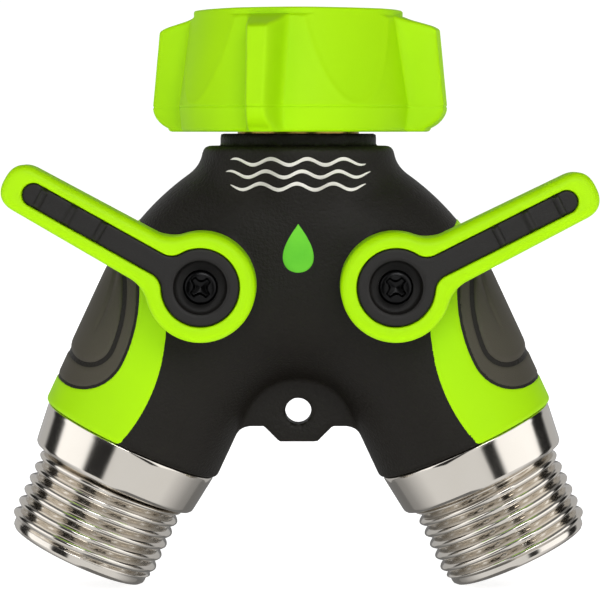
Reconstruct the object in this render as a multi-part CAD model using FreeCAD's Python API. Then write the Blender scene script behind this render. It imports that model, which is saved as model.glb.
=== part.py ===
import FreeCAD, Part
import os
from math import cos, radians, sin, sqrt
from FreeCAD import Placement, Rotation, Vector

# Two-way garden hose splitter with a swivel inlet nut and a ball valve in each leg. Millimetres.
# +Z runs up the inlet axis and -Y is the lever side. The drawing is laid out from a level just above the
# nut's rim, and save() lifts each piece so that the origin is the middle of the inlet thread.
# Every side piece is modelled on the +X side and mirrored to make its twin.

# Garden hose thread, 3/4-11.5 NH. Threads are plain walls at the size that a mating part meets.
THREAD_MALE_R = 13.495
THREAD_FEMALE_R = 12.34

# Legs: the two axes meet on X = 0 and lean out from the vertical. Stations are measured along them.
LEG_ANGLE = radians(25)
LEG_CROSS_Z = -12.6
LEG_R = 16.4
LEG_END = 69.4
PIVOT = 38.4

# Valve body
BODY_TOP_Z = -24.0
BODY_ROUND = 15.0
NECK_R = 13.6
NECK_TOP_Z = -21.9
SHOULDER_HALF = 16.7
SHOULDER_FILLET = 1.5
SHOULDER_R = 46.0
SHOULDER_END = 45.6
ARCH_Z = -74.5
LUG_THICK = 5.0
LUG_HOLE_R = 2.3
LUG_HOLE_Z = -70.4
LUG_BASE_Z = -75.8
LUG_BASE_HALF = 3.3
LUG_NOTCH_Z = -73.1
LUG_ROOT = 10.0
BOSS_R = 8.6
BOSS_FOOT = 10.0
BOSS_FACE = 17.2
STOP_IN = 5.2
STOP_OUT = 7.4
STOP_HEIGHT = 1.9
STOP_SWEEP = 30.0

# Swivel nut
GRIP_TOP_Z = -0.6
GRIP_RIM_R = 18.2
GRIP_RIM_BEVEL = 0.4
GRIP_RIM_DEEP = 1.7
GRIP_FOOT_IN = 0.6
GRIP_BASE_R = 20.8
GRIP_SEAM_Z = -17.3
GRIP_BOTTOM_Z = -21.6
LOBES = 4
LOBE_START = -16.0
LOBE_TOP_R = 25.0
LOBE_SEAM_R = 26.4
LOBE_TOP_Z = -1.8
LOBE_EDGE_Z = -3.7
LOBE_BELLY = Vector(24.9, -19.8, 0)
LOBE_FOOT_OUT = 0.2
LOBE_TIP_HALF = 1.6
LOBE_ROOT_HALF = 3.7
SCOOP_R = 30.0
SCOOP_TOP_R = 17.4
SCOOP_TILT = 11.2
SCOOP_LONG = 90.0
SCOOP_SPACE = (20.0, 14.0, 30.0)
SCOOP_SPACE_OUT = 30.0
SCOOP_SPACE_LOW = -24.0
RING_R = 15.4
RING_TOP_Z = -1.2
RING_BOTTOM_Z = -21.2
THREAD_IN_Z = -2.0
THREAD_OUT_Z = -10.4
RING_POCKET_R = 13.6
RING_LIP_Z = -16.3

# Inlet tailpiece, washer and waterway
TAIL_R = 10.6
TAIL_SLACK = 0.1
TAIL_FLANGE_R = 12.1
TAIL_TOP_Z = -13.6
TAIL_FLANGE_Z = -16.0
TAIL_STEP_Z = -24.9
TAIL_SPIGOT_R = 9.6
TAIL_END_Z = -32.0
WATER_R = 7.0
WATER_END_Z = -36.0
WASHER_R = 12.7
WASHER_HOLE_R = 7.9
WASHER_THICK = 3.0
TAIL_RING_Z = -28.5

# Ball valve in each leg
CHAMBER_R = 10.9
CHAMBER_TOP = 28.0
PORT_R = 5.0
PORT_TOP = 16.0
STEM_HOLE_FOOT = 5.0
BALL_R = 9.6
SEAT_SPHERE_R = 9.75
SEAT_R = 10.85
SEAT_NEAR = 4.6
STEM_R = 4.0
STEM_BORE_R = 4.06
STEM_FLANGE_R = 6.0
STEM_POCKET_R = 6.2
TANG_WIDE = 3.6
TANG_LONG = 8.8
TANG_FOOT = 7.2
FLANGE_FOOT = 10.95
FLANGE_TOP = 12.3
THRUST_TOP = 13.1
THRUST_SLACK = 0.05
DRIVE_FOOT = 17.4
DRIVE_TOP = 22.8
DRIVE_FLAT = 5.6
STEM_RING_STATIONS = (14.3, 16.2)

# Threaded outlets
SPIGOT_R = 10.85
SPIGOT_FOOT = 49.6
SPIGOT_WATER_R = 8.0
COLLAR_TOP_R = 15.85
COLLAR_LOW_R = 15.1
COLLAR_EDGE = 76.2
COLLAR_END = 77.0
COLLAR_LIP = 1.2
COLLAR_LIP_WAY = Vector(0.3, 0.25, 0)
THREAD_ROOT_R = 12.1
THREAD_FOOT = 77.6
THREAD_TIP = 91.0
OUTLET_END = 92.0
OUTLET_WATER_R = 9.6
OUTLET_RING = 60.0

# O-rings: section radius, and the slack between ring and bore
RING_SECTION = 0.88
STEM_RING_SECTION = 0.65

# Grips: a skin of even depth let into the body, and a pad that stands a hair proud of it
SKIN = 1.5
PROUD = 0.1
BAND_CENTRE = Vector(53.0, -54.5, 0)
BAND_R = 30.4
PAD_CENTRE = Vector(54.0, -49.0, 0)
PAD_R = 26.7
PAD_TOE_R = 8.0
PAD_TOE_LOW = -65.45
PAD_HEAD_UP = 14.0
PAD_TIP_ANGLE = radians(-25)
GROOVE_IN = 2.4
GROOVE_TOE_R = 4.8
GROOVE_TOE_LOW = -61.5
GROOVE_WIDE = 0.8
GROOVE_DEEP = 0.6

# Levers, drawn with the bar along +X before they are turned to their rest angle
LEVER_ANGLE = 28.0
LEVER_SWING = 90.0
RIGHT_LEAN = -1.2
LEFT_LEAN = 1.2
LEVER_BACK = 17.5
LEVER_BAR_BACK = 20.0
LEVER_FACE = 28.0
LEVER_REACH = 37.0
HUB_R = 9.2
BAR_ROOT_HALF = 4.4
TIP_R = 4.0
HUB_FILLET = 6.0
LEVER_EDGE = 1.4
SCREW_HOLE_SLACK = 0.15
INLAY_FLOOR = 26.5
INLAY_FACE = 27.8
INLAY_HUB_R = 6.6
INLAY_HALF = 2.0
INLAY_REACH = 33.5
INLAY_FILLET = 3.0
WELL_R = 4.6
WELL_FLOOR = 24.6
RIDGE_STATIONS = (19.0, 24.6, 30.2)
RIDGE_WIDE = 1.0
RIDGE_HEIGHT = 0.5
SLOT_DEEP = 2.1
SLOT_SLACK = 2.4

# Lever screw
SCREW_HEAD_R = 2.9
SCREW_HEAD = 2.1
SCREW_CROWN = 0.9
SCREW_R = 1.95
SCREW_FOOT = 19.0
CROSS_WIDE = 0.9
CROSS_LONG = 3.4
CROSS_DEEP = 1.3

ORIGIN = Vector(0, 0, 0)
UP = Vector(0, 0, 1)
FAR = 80.0

# FRONT stands a flat drawing upright: its x and y become X and Z, and its thickness runs to the front.
FRONT = Placement(ORIGIN, Rotation(Vector(1, 0, 0), 90))
LEG = Placement(Vector(0, 0, LEG_CROSS_Z), Rotation(Vector(0, 1, 0), 155))


def leg_point(station, out=0.0):
    """Point of the flat front drawing at a station along the +X leg and a distance out from its axis."""
    x = station * sin(LEG_ANGLE) + out * cos(LEG_ANGLE)
    z = LEG_CROSS_Z - station * cos(LEG_ANGLE) + out * sin(LEG_ANGLE)
    return Vector(x, z, 0)


PIVOT_POINT = leg_point(PIVOT)
STEM = Placement(Vector(PIVOT_POINT.x, 0, PIVOT_POINT.y), FRONT.Rotation)


def placed(shape, placement):
    moved = shape.copy()
    moved.Placement = placement.multiply(moved.Placement)
    return moved


def face(start, *steps):
    """Closed flat face. A step is the next corner, or a (way point, end) pair for an arc."""
    edges = []
    here = start
    for step in steps:
        if isinstance(step, tuple):
            edges.append(Part.Arc(here, step[0], step[1]).toShape())
            here = step[1]
        else:
            edges.append(Part.makeLine(here, step))
            here = step
    if here.distanceToPoint(start) > 1e-6:
        edges.append(Part.makeLine(here, start))
    return Part.Face(Part.Wire(edges))


def way(centre, start, end):
    """Middle of the shorter arc from start to end round centre."""
    middle = (start - centre) + (end - centre)
    return centre + middle.normalize() * (start - centre).Length


def prism(flat, low, high):
    """Flat face in the drawing plane, thickened from low to high."""
    lifted = flat.copy()
    lifted.translate(Vector(0, 0, low))
    return lifted.extrude(Vector(0, 0, high - low))


def turned(profile):
    """Solid turned about Z from a profile face drawn with x as the radius and y as the height."""
    return placed(profile, FRONT).revolve(ORIGIN, UP, 360)


def corners(*pairs):
    return face(*[Vector(x, y, 0) for x, y in pairs])


def tube(outer, inner, low, high):
    """Straight ring between two radii."""
    return turned(corners((inner, low), (outer, low), (outer, high), (inner, high)))


def rod(radius, low, high):
    return Part.makeCylinder(radius, high - low, Vector(0, 0, low))


def sector(inner, outer, low, high, start, sweep):
    """Part of a ring that begins at an angle and runs anticlockwise, in degrees."""
    whole = Part.makeCylinder(outer, high - low, Vector(0, 0, low), UP, sweep)
    part = whole.cut(rod(inner, low - 1, high + 1))
    part.rotate(ORIGIN, UP, start)
    return part


def o_ring(outer, section, height):
    return Part.makeTorus(outer - section, section, Vector(0, 0, height))


def box_at(x_half, y_half, low, high):
    return Part.makeBox(2 * x_half, 2 * y_half, high - low, Vector(-x_half, -y_half, low))


def mirrored(shape):
    return shape.mirror(ORIGIN, Vector(1, 0, 0))


# Body shape -------------------------------------------------------------------------------------

def flip(point):
    return Vector(-point.x, point.y, 0)


def body_outline(grow):
    """Front outline of neck shoulder, legs and crotch, grown outwards by an even distance."""
    out = LEG_R + grow
    half = SHOULDER_HALF + grow
    fillet = SHOULDER_FILLET - grow
    shoulder_c = leg_point(SHOULDER_END, LEG_R - SHOULDER_R)
    shoulder_r = SHOULDER_R + grow
    reach = shoulder_r + fillet
    side = half + fillet - shoulder_c.x
    fillet_c = Vector(half + fillet, shoulder_c.y + sqrt(reach ** 2 - side ** 2), 0)
    top = Vector(half, BODY_TOP_Z, 0)
    root = Vector(half, fillet_c.y, 0)
    crest = shoulder_c + (fillet_c - shoulder_c) * (shoulder_r / reach)
    hip = leg_point(SHOULDER_END, out)
    heel = leg_point(LEG_END, out)
    toe = leg_point(LEG_END, -out)
    arch_c = Vector(0, ARCH_Z, 0)
    arch_r = (LEG_CROSS_Z - ARCH_Z) * sin(LEG_ANGLE) - out
    spring = arch_c + Vector(cos(LEG_ANGLE), sin(LEG_ANGLE), 0) * arch_r
    arch_top = arch_c + Vector(0, arch_r, 0)
    bend = way(fillet_c, root, crest)
    brow = way(shoulder_c, crest, hip)
    down = [root, (bend, crest), (brow, hip), heel, toe, spring]
    up = [flip(toe), flip(heel), flip(hip), (flip(brow), flip(crest)), (flip(bend), flip(root)), flip(top)]
    return face(top, *down, (arch_top, flip(spring)), *up)


def is_round_edge(edge, depth):
    """True for an edge of the front or back face that isn't on the neck cut or a leg end."""
    ends = [v.Point for v in edge.Vertexes]
    on_face = all(abs(abs(p.z) - depth) < 1e-6 for p in ends)
    on_top = all(abs(p.y - BODY_TOP_Z) < 1e-6 for p in ends)
    stations = [(LEG_CROSS_Z - p.y) * cos(LEG_ANGLE) + abs(p.x) * sin(LEG_ANGLE) for p in ends]
    on_end = all(abs(s - LEG_END) < 1e-6 for s in stations)
    return on_face and not on_top and not on_end


def body_blank(grow=0.0):
    """Outer shape of the body: the front outline as a slab with its edges rolled nearly full round."""
    depth = LEG_R + grow
    slab = prism(body_outline(grow), -depth, depth)
    rolled = slab.makeFillet(BODY_ROUND + grow, [e for e in slab.Edges if is_round_edge(e, depth)])
    return placed(rolled, FRONT)


def lug():
    """Hanging lug in the crotch: a thin plate with a chamfered tongue and a round hole."""
    wide = LUG_BASE_HALF + LUG_NOTCH_Z - LUG_BASE_Z
    top = ARCH_Z + LUG_ROOT
    plate = corners((LUG_BASE_HALF, LUG_BASE_Z), (wide, LUG_NOTCH_Z), (LUG_ROOT, LUG_NOTCH_Z),
                    (LUG_ROOT, top), (-LUG_ROOT, top), (-LUG_ROOT, LUG_NOTCH_Z), (-wide, LUG_NOTCH_Z),
                    (-LUG_BASE_HALF, LUG_BASE_Z))
    solid = prism(plate, -LUG_THICK / 2, LUG_THICK / 2)
    hole = Part.makeCylinder(LUG_HOLE_R, LUG_THICK + 2, Vector(0, LUG_HOLE_Z, -LUG_THICK / 2 - 1))
    return placed(solid.cut(hole), FRONT)


def stop_start():
    """Angle at which the body's stop begins: behind the lever slot's trailing end."""
    return LEVER_ANGLE - 90.0 - LEVER_SWING - STOP_SWEEP - SLOT_SLACK


def boss():
    """Round seat for the lever hub, with the stop that limits its swing."""
    seat = rod(BOSS_R, BOSS_FOOT, BOSS_FACE)
    stop = sector(STOP_IN, STOP_OUT, BOSS_FACE - 1.0, BOSS_FACE + STOP_HEIGHT, stop_start(), STOP_SWEEP)
    return placed(seat.fuse(stop), STEM)


def inlet_hollow():
    """Socket for the tailpiece and the waterway under it."""
    return turned(corners((0, NECK_TOP_Z + 1), (TAIL_R, NECK_TOP_Z + 1), (TAIL_R, TAIL_STEP_Z),
                          (TAIL_SPIGOT_R, TAIL_STEP_Z), (TAIL_SPIGOT_R, TAIL_END_Z),
                          (WATER_R, TAIL_END_Z), (WATER_R, WATER_END_Z), (0, WATER_END_Z)))


def leg_hollow():
    """Port, ball chamber and the stem's stepped bore in one leg."""
    port = placed(rod(PORT_R, PORT_TOP, CHAMBER_TOP + 1), LEG)
    chamber = placed(rod(CHAMBER_R, CHAMBER_TOP, LEG_END + 1), LEG)
    pocket = placed(rod(STEM_POCKET_R, STEM_HOLE_FOOT, THRUST_TOP), STEM)
    stem_bore = placed(rod(STEM_BORE_R, STEM_HOLE_FOOT, BOSS_FACE + 1), STEM)
    return port.fuse([chamber, pocket, stem_bore])


def band_zone():
    """Everything inside the band's round edge, right through from front to back."""
    disc = Part.makeCylinder(BAND_R, FAR, BAND_CENTRE - UP * (FAR / 2))
    return placed(disc, FRONT)


def skin(grow=0.0):
    """Outer layer of the body, as deep as the grips are let in."""
    return body_blank(grow).cut(body_blank(-SKIN))


def toe_centre(outer_r, toe_r, low):
    """Centre of the toe arc that touches the long arc from inside and bottoms out at a height."""
    z = low + toe_r
    x = PAD_CENTRE.x - sqrt((outer_r - toe_r) ** 2 - (z - PAD_CENTRE.y) ** 2)
    return Vector(x, z, 0)


def pad_outline(inset, toe_r, low):
    """Leaf-shaped pad outline: a long arc, a toe arc tangent to it, and an open outer side."""
    long_r = PAD_R - inset
    toe_c = toe_centre(long_r, toe_r, low)
    touch = PAD_CENTRE + (toe_c - PAD_CENTRE).normalize() * long_r
    head_z = PAD_CENTRE.y + PAD_HEAD_UP
    head = Vector(PAD_CENTRE.x - sqrt(long_r ** 2 - PAD_HEAD_UP ** 2), head_z, 0)
    tip = toe_c + Vector(cos(PAD_TIP_ANGLE), sin(PAD_TIP_ANGLE), 0) * toe_r
    low_way = toe_c + Vector(0, -toe_r, 0)
    return face(head, (way(PAD_CENTRE, head, touch), touch), (low_way, tip),
                Vector(FAR, tip.y, 0), Vector(FAR, head_z, 0))


def pad_zone():
    return placed(prism(pad_outline(0.0, PAD_TOE_R, PAD_TOE_LOW), -FAR / 2, FAR / 2), FRONT)


def groove():
    """Shallow channel that follows the pad's edge at an even distance inside it."""
    half = GROOVE_WIDE / 2
    outer = pad_outline(GROOVE_IN - half, GROOVE_TOE_R + half, GROOVE_TOE_LOW - half)
    inner = pad_outline(GROOVE_IN + half, GROOVE_TOE_R - half, GROOVE_TOE_LOW + half)
    strip = prism(outer, -FAR / 2, FAR / 2).cut(prism(inner, -FAR, FAR))
    return placed(strip, FRONT).cut(body_blank(PROUD - GROOVE_DEEP))


def make_valve_body():
    solid = body_blank().fuse([rod(NECK_R, BODY_TOP_Z - 1, NECK_TOP_Z), lug()])
    recess = skin(1.0).common(band_zone())
    solid = solid.cut([recess, mirrored(recess)])
    hollows = leg_hollow()
    solid = solid.fuse([boss(), mirrored(boss())])
    return solid.cut([inlet_hollow(), hollows, mirrored(hollows)])


def make_grip_band():
    hub_seat = placed(rod(BOSS_R, 0, FAR), STEM)
    return skin().common(band_zone()).cut([pad_zone(), hub_seat])


def make_grip_pad():
    return skin(PROUD).common(pad_zone()).common(band_zone()).cut(groove())


# Swivel nut ---------------------------------------------------------------------------------------

def grip_core():
    """Slightly flared sleeve between the lobes."""
    bevel = GRIP_RIM_BEVEL
    step_r = GRIP_RIM_R + bevel
    return turned(corners((RING_R, GRIP_TOP_Z), (GRIP_RIM_R - bevel, GRIP_TOP_Z),
                          (GRIP_RIM_R, GRIP_TOP_Z - bevel), (GRIP_RIM_R, -GRIP_RIM_DEEP),
                          (step_r, -GRIP_RIM_DEEP - bevel),
                          (GRIP_BASE_R, GRIP_SEAM_Z), (GRIP_BASE_R - GRIP_FOOT_IN, GRIP_BOTTOM_Z),
                          (RING_R, GRIP_BOTTOM_Z)))


def lobe_envelope():
    """Turned shape that every lobe is cut from: bevelled top, flared side and rounded foot."""
    flare = Vector(LOBE_SEAM_R, GRIP_SEAM_Z, 0)
    foot = Vector(GRIP_BASE_R + LOBE_FOOT_OUT, GRIP_BOTTOM_Z, 0)
    profile = face(Vector(RING_R, LOBE_TOP_Z, 0), Vector(GRIP_RIM_R, LOBE_TOP_Z, 0),
                   Vector(LOBE_TOP_R, LOBE_EDGE_Z, 0), flare, (LOBE_BELLY, foot),
                   Vector(RING_R, GRIP_BOTTOM_Z, 0))
    return turned(profile)


def lobe_block(angle):
    """Tapered rib section, long enough to cover one lobe, turned to its angle."""
    root_y = -(RING_R + 1.0)
    tip_y = -(LOBE_SEAM_R + 1.0)
    flat = corners((-LOBE_ROOT_HALF, root_y), (LOBE_ROOT_HALF, root_y),
                   (LOBE_TIP_HALF, tip_y), (-LOBE_TIP_HALF, tip_y))
    block = prism(flat, GRIP_BOTTOM_Z - 1, 1)
    block.rotate(ORIGIN, UP, angle)
    return block


def scoop(angle):
    """Cutter for one thumb rest: everything outside a large, tilted drum."""
    wide, deep, high = SCOOP_SPACE
    block = Part.makeBox(wide, deep, high, Vector(-wide / 2, -SCOOP_SPACE_OUT, SCOOP_SPACE_LOW))
    drum = Part.makeCylinder(SCOOP_R, SCOOP_LONG, Vector(0, SCOOP_R - SCOOP_TOP_R, -SCOOP_LONG / 2))
    drum.rotate(Vector(0, -SCOOP_TOP_R, 0), Vector(1, 0, 0), -SCOOP_TILT)
    cutter = block.cut(drum)
    cutter.rotate(ORIGIN, UP, angle)
    return cutter


def make_swivel_nut_grip():
    step = 360.0 / LOBES
    core = grip_core().cut([scoop(LOBE_START + step * (i + 0.5)) for i in range(LOBES)])
    envelope = lobe_envelope()
    lobes = [envelope.common(lobe_block(LOBE_START + step * i)) for i in range(LOBES)]
    return core.fuse(lobes).removeSplitter()


def make_swivel_nut_ring():
    """Metal ring in the nut: lead-in, female thread, washer pocket and the lip that pulls the tailpiece."""
    lip_r = TAIL_R + TAIL_SLACK
    return turned(corners((RING_R, RING_TOP_Z), (RING_R, RING_BOTTOM_Z), (lip_r, RING_BOTTOM_Z),
                          (lip_r, RING_LIP_Z), (RING_POCKET_R, RING_LIP_Z), (RING_POCKET_R, THREAD_OUT_Z),
                          (THREAD_FEMALE_R, THREAD_OUT_Z), (THREAD_FEMALE_R, THREAD_IN_Z),
                          (RING_POCKET_R, RING_TOP_Z)))


def make_inlet_washer():
    return tube(WASHER_R, WASHER_HOLE_R, TAIL_TOP_Z, TAIL_TOP_Z + WASHER_THICK)


def make_inlet_tailpiece():
    """Flanged stem that the nut hangs on; its spigot screws into the body."""
    solid = turned(corners((WATER_R, TAIL_TOP_Z), (TAIL_FLANGE_R, TAIL_TOP_Z),
                           (TAIL_FLANGE_R, TAIL_FLANGE_Z), (TAIL_R, TAIL_FLANGE_Z),
                           (TAIL_R, TAIL_STEP_Z), (TAIL_SPIGOT_R, TAIL_STEP_Z),
                           (TAIL_SPIGOT_R, TAIL_END_Z), (WATER_R, TAIL_END_Z)))
    return solid.cut(ring_groove(TAIL_SPIGOT_R, RING_SECTION, TAIL_RING_Z))


def ring_groove(outer, section, height):
    """Rectangular O-ring groove cut in from an outer radius."""
    return tube(outer + 1, outer - 2 * section, height - section * 1.2, height + section * 1.2)


# Ball valve ---------------------------------------------------------------------------------------

def across_leg(shape):
    """Turn a shape built on the stem axis so that its x runs along the leg."""
    turned_shape = shape.copy()
    turned_shape.rotate(ORIGIN, UP, 65)
    return turned_shape


def make_ball():
    """Chromed ball, shut: its port lies across the leg and its slot along it."""
    ball = Part.makeSphere(BALL_R)
    port = Part.makeCylinder(PORT_R, FAR, Vector(0, -FAR / 2, 0), Vector(0, 1, 0))
    slot = box_at(BALL_R, TANG_WIDE / 2, TANG_FOOT, BALL_R + 1)
    return placed(across_leg(ball.cut([port, slot])), STEM)


def seat(low, high):
    ring = tube(SEAT_R, PORT_R, low, high)
    return placed(ring.cut(Part.makeSphere(SEAT_SPHERE_R, Vector(0, 0, PIVOT))), LEG)


def make_thrust_washer():
    """PTFE washer between the stem's flange and the top of its pocket."""
    return placed(tube(STEM_FLANGE_R, STEM_BORE_R, FLANGE_TOP + THRUST_SLACK, THRUST_TOP), STEM)


def make_stem():
    """Valve stem: tang, retaining flange, sealed shaft and square drive with the screw's hole."""
    tang = across_leg(box_at(TANG_LONG / 2, TANG_WIDE / 2, TANG_FOOT, FLANGE_FOOT + 0.5))
    flange = rod(STEM_FLANGE_R, FLANGE_FOOT, FLANGE_TOP)
    shaft = rod(STEM_R, FLANGE_FOOT, DRIVE_FOOT)
    drive = box_at(DRIVE_FLAT / 2, DRIVE_FLAT / 2, DRIVE_FOOT - 1, DRIVE_TOP)
    drive.rotate(ORIGIN, UP, LEVER_ANGLE)
    solid = tang.fuse([flange, shaft, drive])
    grooves = [ring_groove(STEM_R, STEM_RING_SECTION, h) for h in STEM_RING_STATIONS]
    hole = rod(SCREW_R, SCREW_FOOT - 0.4, DRIVE_TOP + 1)
    return placed(solid.cut(grooves + [hole]), STEM)


def make_stem_orings():
    rings = [o_ring(STEM_R, STEM_RING_SECTION, h) for h in STEM_RING_STATIONS]
    return placed(Part.makeCompound(rings), STEM)


def make_outlet():
    """Plated outlet: spigot in the leg, tapered collar, male thread and waterway."""
    low_edge = Vector(COLLAR_LOW_R - COLLAR_LIP, COLLAR_END, 0)
    edge = Vector(COLLAR_LOW_R, COLLAR_EDGE, 0)
    edge_way = Vector(COLLAR_LOW_R, COLLAR_END, 0) - COLLAR_LIP_WAY
    profile = face(Vector(SPIGOT_WATER_R, SPIGOT_FOOT, 0), Vector(SPIGOT_R, SPIGOT_FOOT, 0),
                   Vector(SPIGOT_R, LEG_END, 0), Vector(COLLAR_TOP_R, LEG_END, 0), edge, (edge_way, low_edge),
                   Vector(THREAD_ROOT_R, COLLAR_END, 0), Vector(THREAD_ROOT_R, THREAD_FOOT, 0),
                   Vector(THREAD_MALE_R, THREAD_FOOT, 0), Vector(THREAD_MALE_R, THREAD_TIP, 0),
                   Vector(THREAD_ROOT_R, OUTLET_END, 0), Vector(OUTLET_WATER_R, OUTLET_END, 0),
                   Vector(OUTLET_WATER_R, LEG_END + 3, 0), Vector(SPIGOT_WATER_R, LEG_END + 1, 0))
    solid = turned(profile).cut(ring_groove(SPIGOT_R, RING_SECTION, OUTLET_RING))
    return placed(solid, LEG)


# Levers -------------------------------------------------------------------------------------------

def lever_flat(hub_r, root_half, tip_r, reach, fillet):
    """Round hub with a bar: the two meet in hollow fillets and the bar ends in a half circle."""
    fillet_y = root_half + fillet
    fillet_x = sqrt((hub_r + fillet) ** 2 - fillet_y ** 2)
    tip_x = reach - tip_r
    upper_c = Vector(fillet_x, fillet_y, 0)
    lower_c = Vector(fillet_x, -fillet_y, 0)
    upper_hub = upper_c * (hub_r / (hub_r + fillet))
    lower_hub = lower_c * (hub_r / (hub_r + fillet))
    upper_bar = Vector(fillet_x, root_half, 0)
    lower_bar = Vector(fillet_x, -root_half, 0)
    return face(upper_hub, (way(upper_c, upper_hub, upper_bar), upper_bar), Vector(tip_x, tip_r, 0),
                (Vector(reach, 0, 0), Vector(tip_x, -tip_r, 0)), lower_bar,
                (way(lower_c, lower_bar, lower_hub), lower_hub), (Vector(-hub_r, 0, 0), upper_hub))


def face_edges(solid, height):
    return [e for e in solid.Edges if abs(e.BoundBox.ZMin - height) < 1e-6 and e.BoundBox.ZLength < 1e-6]


def at_rest(shape):
    """Turn a lever piece from its drawing direction to its rest angle and set it on the stem."""
    turned_shape = shape.copy()
    turned_shape.rotate(ORIGIN, UP, LEVER_ANGLE)
    return placed(turned_shape, STEM)


def make_lever():
    """Lever: rounded bar and hub, inlay pocket, screw well, square socket and stop slot."""
    flat = lever_flat(HUB_R, BAR_ROOT_HALF, TIP_R, LEVER_REACH, HUB_FILLET)
    bar = prism(flat, LEVER_BAR_BACK, LEVER_FACE)
    bar = bar.makeFillet(LEVER_EDGE, face_edges(bar, LEVER_FACE))
    solid = bar.fuse(rod(HUB_R, LEVER_BACK, LEVER_BAR_BACK + 1))
    pocket = prism(inlay_flat(), INLAY_FLOOR, LEVER_FACE + 1)
    well = rod(WELL_R, WELL_FLOOR, LEVER_FACE + 1)
    screw_hole = rod(SCREW_R + SCREW_HOLE_SLACK, DRIVE_TOP, WELL_FLOOR + 1)
    socket = box_at(DRIVE_FLAT / 2, DRIVE_FLAT / 2, LEVER_BACK - 1, DRIVE_TOP)
    slot = sector(STOP_IN - 0.3, STOP_OUT + 0.3, LEVER_BACK - 1, LEVER_BACK + SLOT_DEEP,
                  stop_start() - LEVER_ANGLE - SLOT_SLACK, LEVER_SWING + STOP_SWEEP + 2 * SLOT_SLACK)
    return at_rest(solid.cut([pocket, well, screw_hole, socket, slot]))


def inlay_flat():
    return lever_flat(INLAY_HUB_R, INLAY_HALF, INLAY_HALF, INLAY_REACH, INLAY_FILLET)


def make_lever_inlay():
    """Dark inlay in the lever's face, with cross ridges for the thumb."""
    strip = prism(inlay_flat(), INLAY_FLOOR, INLAY_FACE)
    ridges = []
    for station in RIDGE_STATIONS:
        ridge = box_at(RIDGE_WIDE / 2, INLAY_HALF - 0.2, INLAY_FACE - 0.5, INLAY_FACE + RIDGE_HEIGHT)
        ridge.translate(Vector(station, 0, 0))
        ridges.append(ridge)
    return at_rest(strip.fuse(ridges).cut(rod(WELL_R, INLAY_FLOOR - 1, FAR)))


def make_lever_screw():
    """Pan-head screw with a cross recess."""
    top = WELL_FLOOR + SCREW_HEAD
    head = rod(SCREW_HEAD_R, WELL_FLOOR, top)
    head = head.makeFillet(SCREW_CROWN, face_edges(head, top))
    shank = rod(SCREW_R, SCREW_FOOT, WELL_FLOOR + 0.5)
    cross = box_at(CROSS_LONG / 2, CROSS_WIDE / 2, top - CROSS_DEEP, top + 1)
    cross = cross.fuse(box_at(CROSS_WIDE / 2, CROSS_LONG / 2, top - CROSS_DEEP, top + 1))
    return at_rest(head.fuse(shank).cut(cross))


# Assembly -----------------------------------------------------------------------------------------

CENTRE_PIECES = {
    "valve_body": make_valve_body,
    "swivel_nut_grip": make_swivel_nut_grip,
    "swivel_nut_ring": make_swivel_nut_ring,
    "inlet_washer": make_inlet_washer,
    "inlet_tailpiece": make_inlet_tailpiece,
    "tailpiece_oring": lambda: o_ring(TAIL_SPIGOT_R, RING_SECTION, TAIL_RING_Z),
}

SIDE_PIECES = {
    "grip_band": make_grip_band,
    "grip_pad": make_grip_pad,
    "outlet": make_outlet,
    "outlet_oring": lambda: placed(o_ring(SPIGOT_R, RING_SECTION, OUTLET_RING), LEG),
    "ball": make_ball,
    "upper_seat": lambda: seat(CHAMBER_TOP, PIVOT - SEAT_NEAR),
    "lower_seat": lambda: seat(PIVOT + SEAT_NEAR, SPIGOT_FOOT),
    "stem": make_stem,
    "stem_thrust_washer": make_thrust_washer,
    "stem_orings": make_stem_orings,
    "lever": make_lever,
    "lever_inlay": make_lever_inlay,
    "lever_screw": make_lever_screw,
}


TURNING = ("ball", "stem", "stem_orings", "lever", "lever_inlay", "lever_screw")


def leaned(shape, degrees):
    """Turn a piece of the valve about the stem: the two levers don't rest at quite the same angle."""
    turned_shape = shape.copy()
    turned_shape.rotate(STEM.Base, Vector(0, -1, 0), degrees)
    return turned_shape


def save(name, shape):
    """Lift a piece from the rim's frame to the thread's and write it."""
    lifted = shape.copy()
    lifted.translate(UP * (-(THREAD_IN_Z + THREAD_OUT_Z) / 2))
    lifted.exportStep(f"parts/{name}.step")
    size = lifted.BoundBox
    print(f"{name}: {len(lifted.Solids)} solid, valid {lifted.isValid()}, {lifted.Volume:.1f} mm3,"
          f" z {size.ZMin:.1f} to {size.ZMax:.1f}")


os.makedirs("parts", exist_ok=True)
for name, make in CENTRE_PIECES.items():
    save(name, make())
for name, make in SIDE_PIECES.items():
    shape = make()
    turns = name in TURNING
    save("right_" + name, leaned(shape, RIGHT_LEAN) if turns else shape)
    save("left_" + name, mirrored(leaned(shape, LEFT_LEAN) if turns else shape))
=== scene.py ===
# %% [markdown]
# # A two-way garden hose splitter
# A swivel nut screws onto an outdoor tap, and the die-cast body under it splits the water between two
# legs. Each leg has a quarter-turn ball valve with a lime lever, and ends in a nickel-plated outlet with
# garden hose thread. The engineering model gives every piece its size and place, so the first cell loads
# it and keeps its box. All the drawing below is in millimetres, measured from a level 0.6 above the rim of
# the nut.

import math

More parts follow.
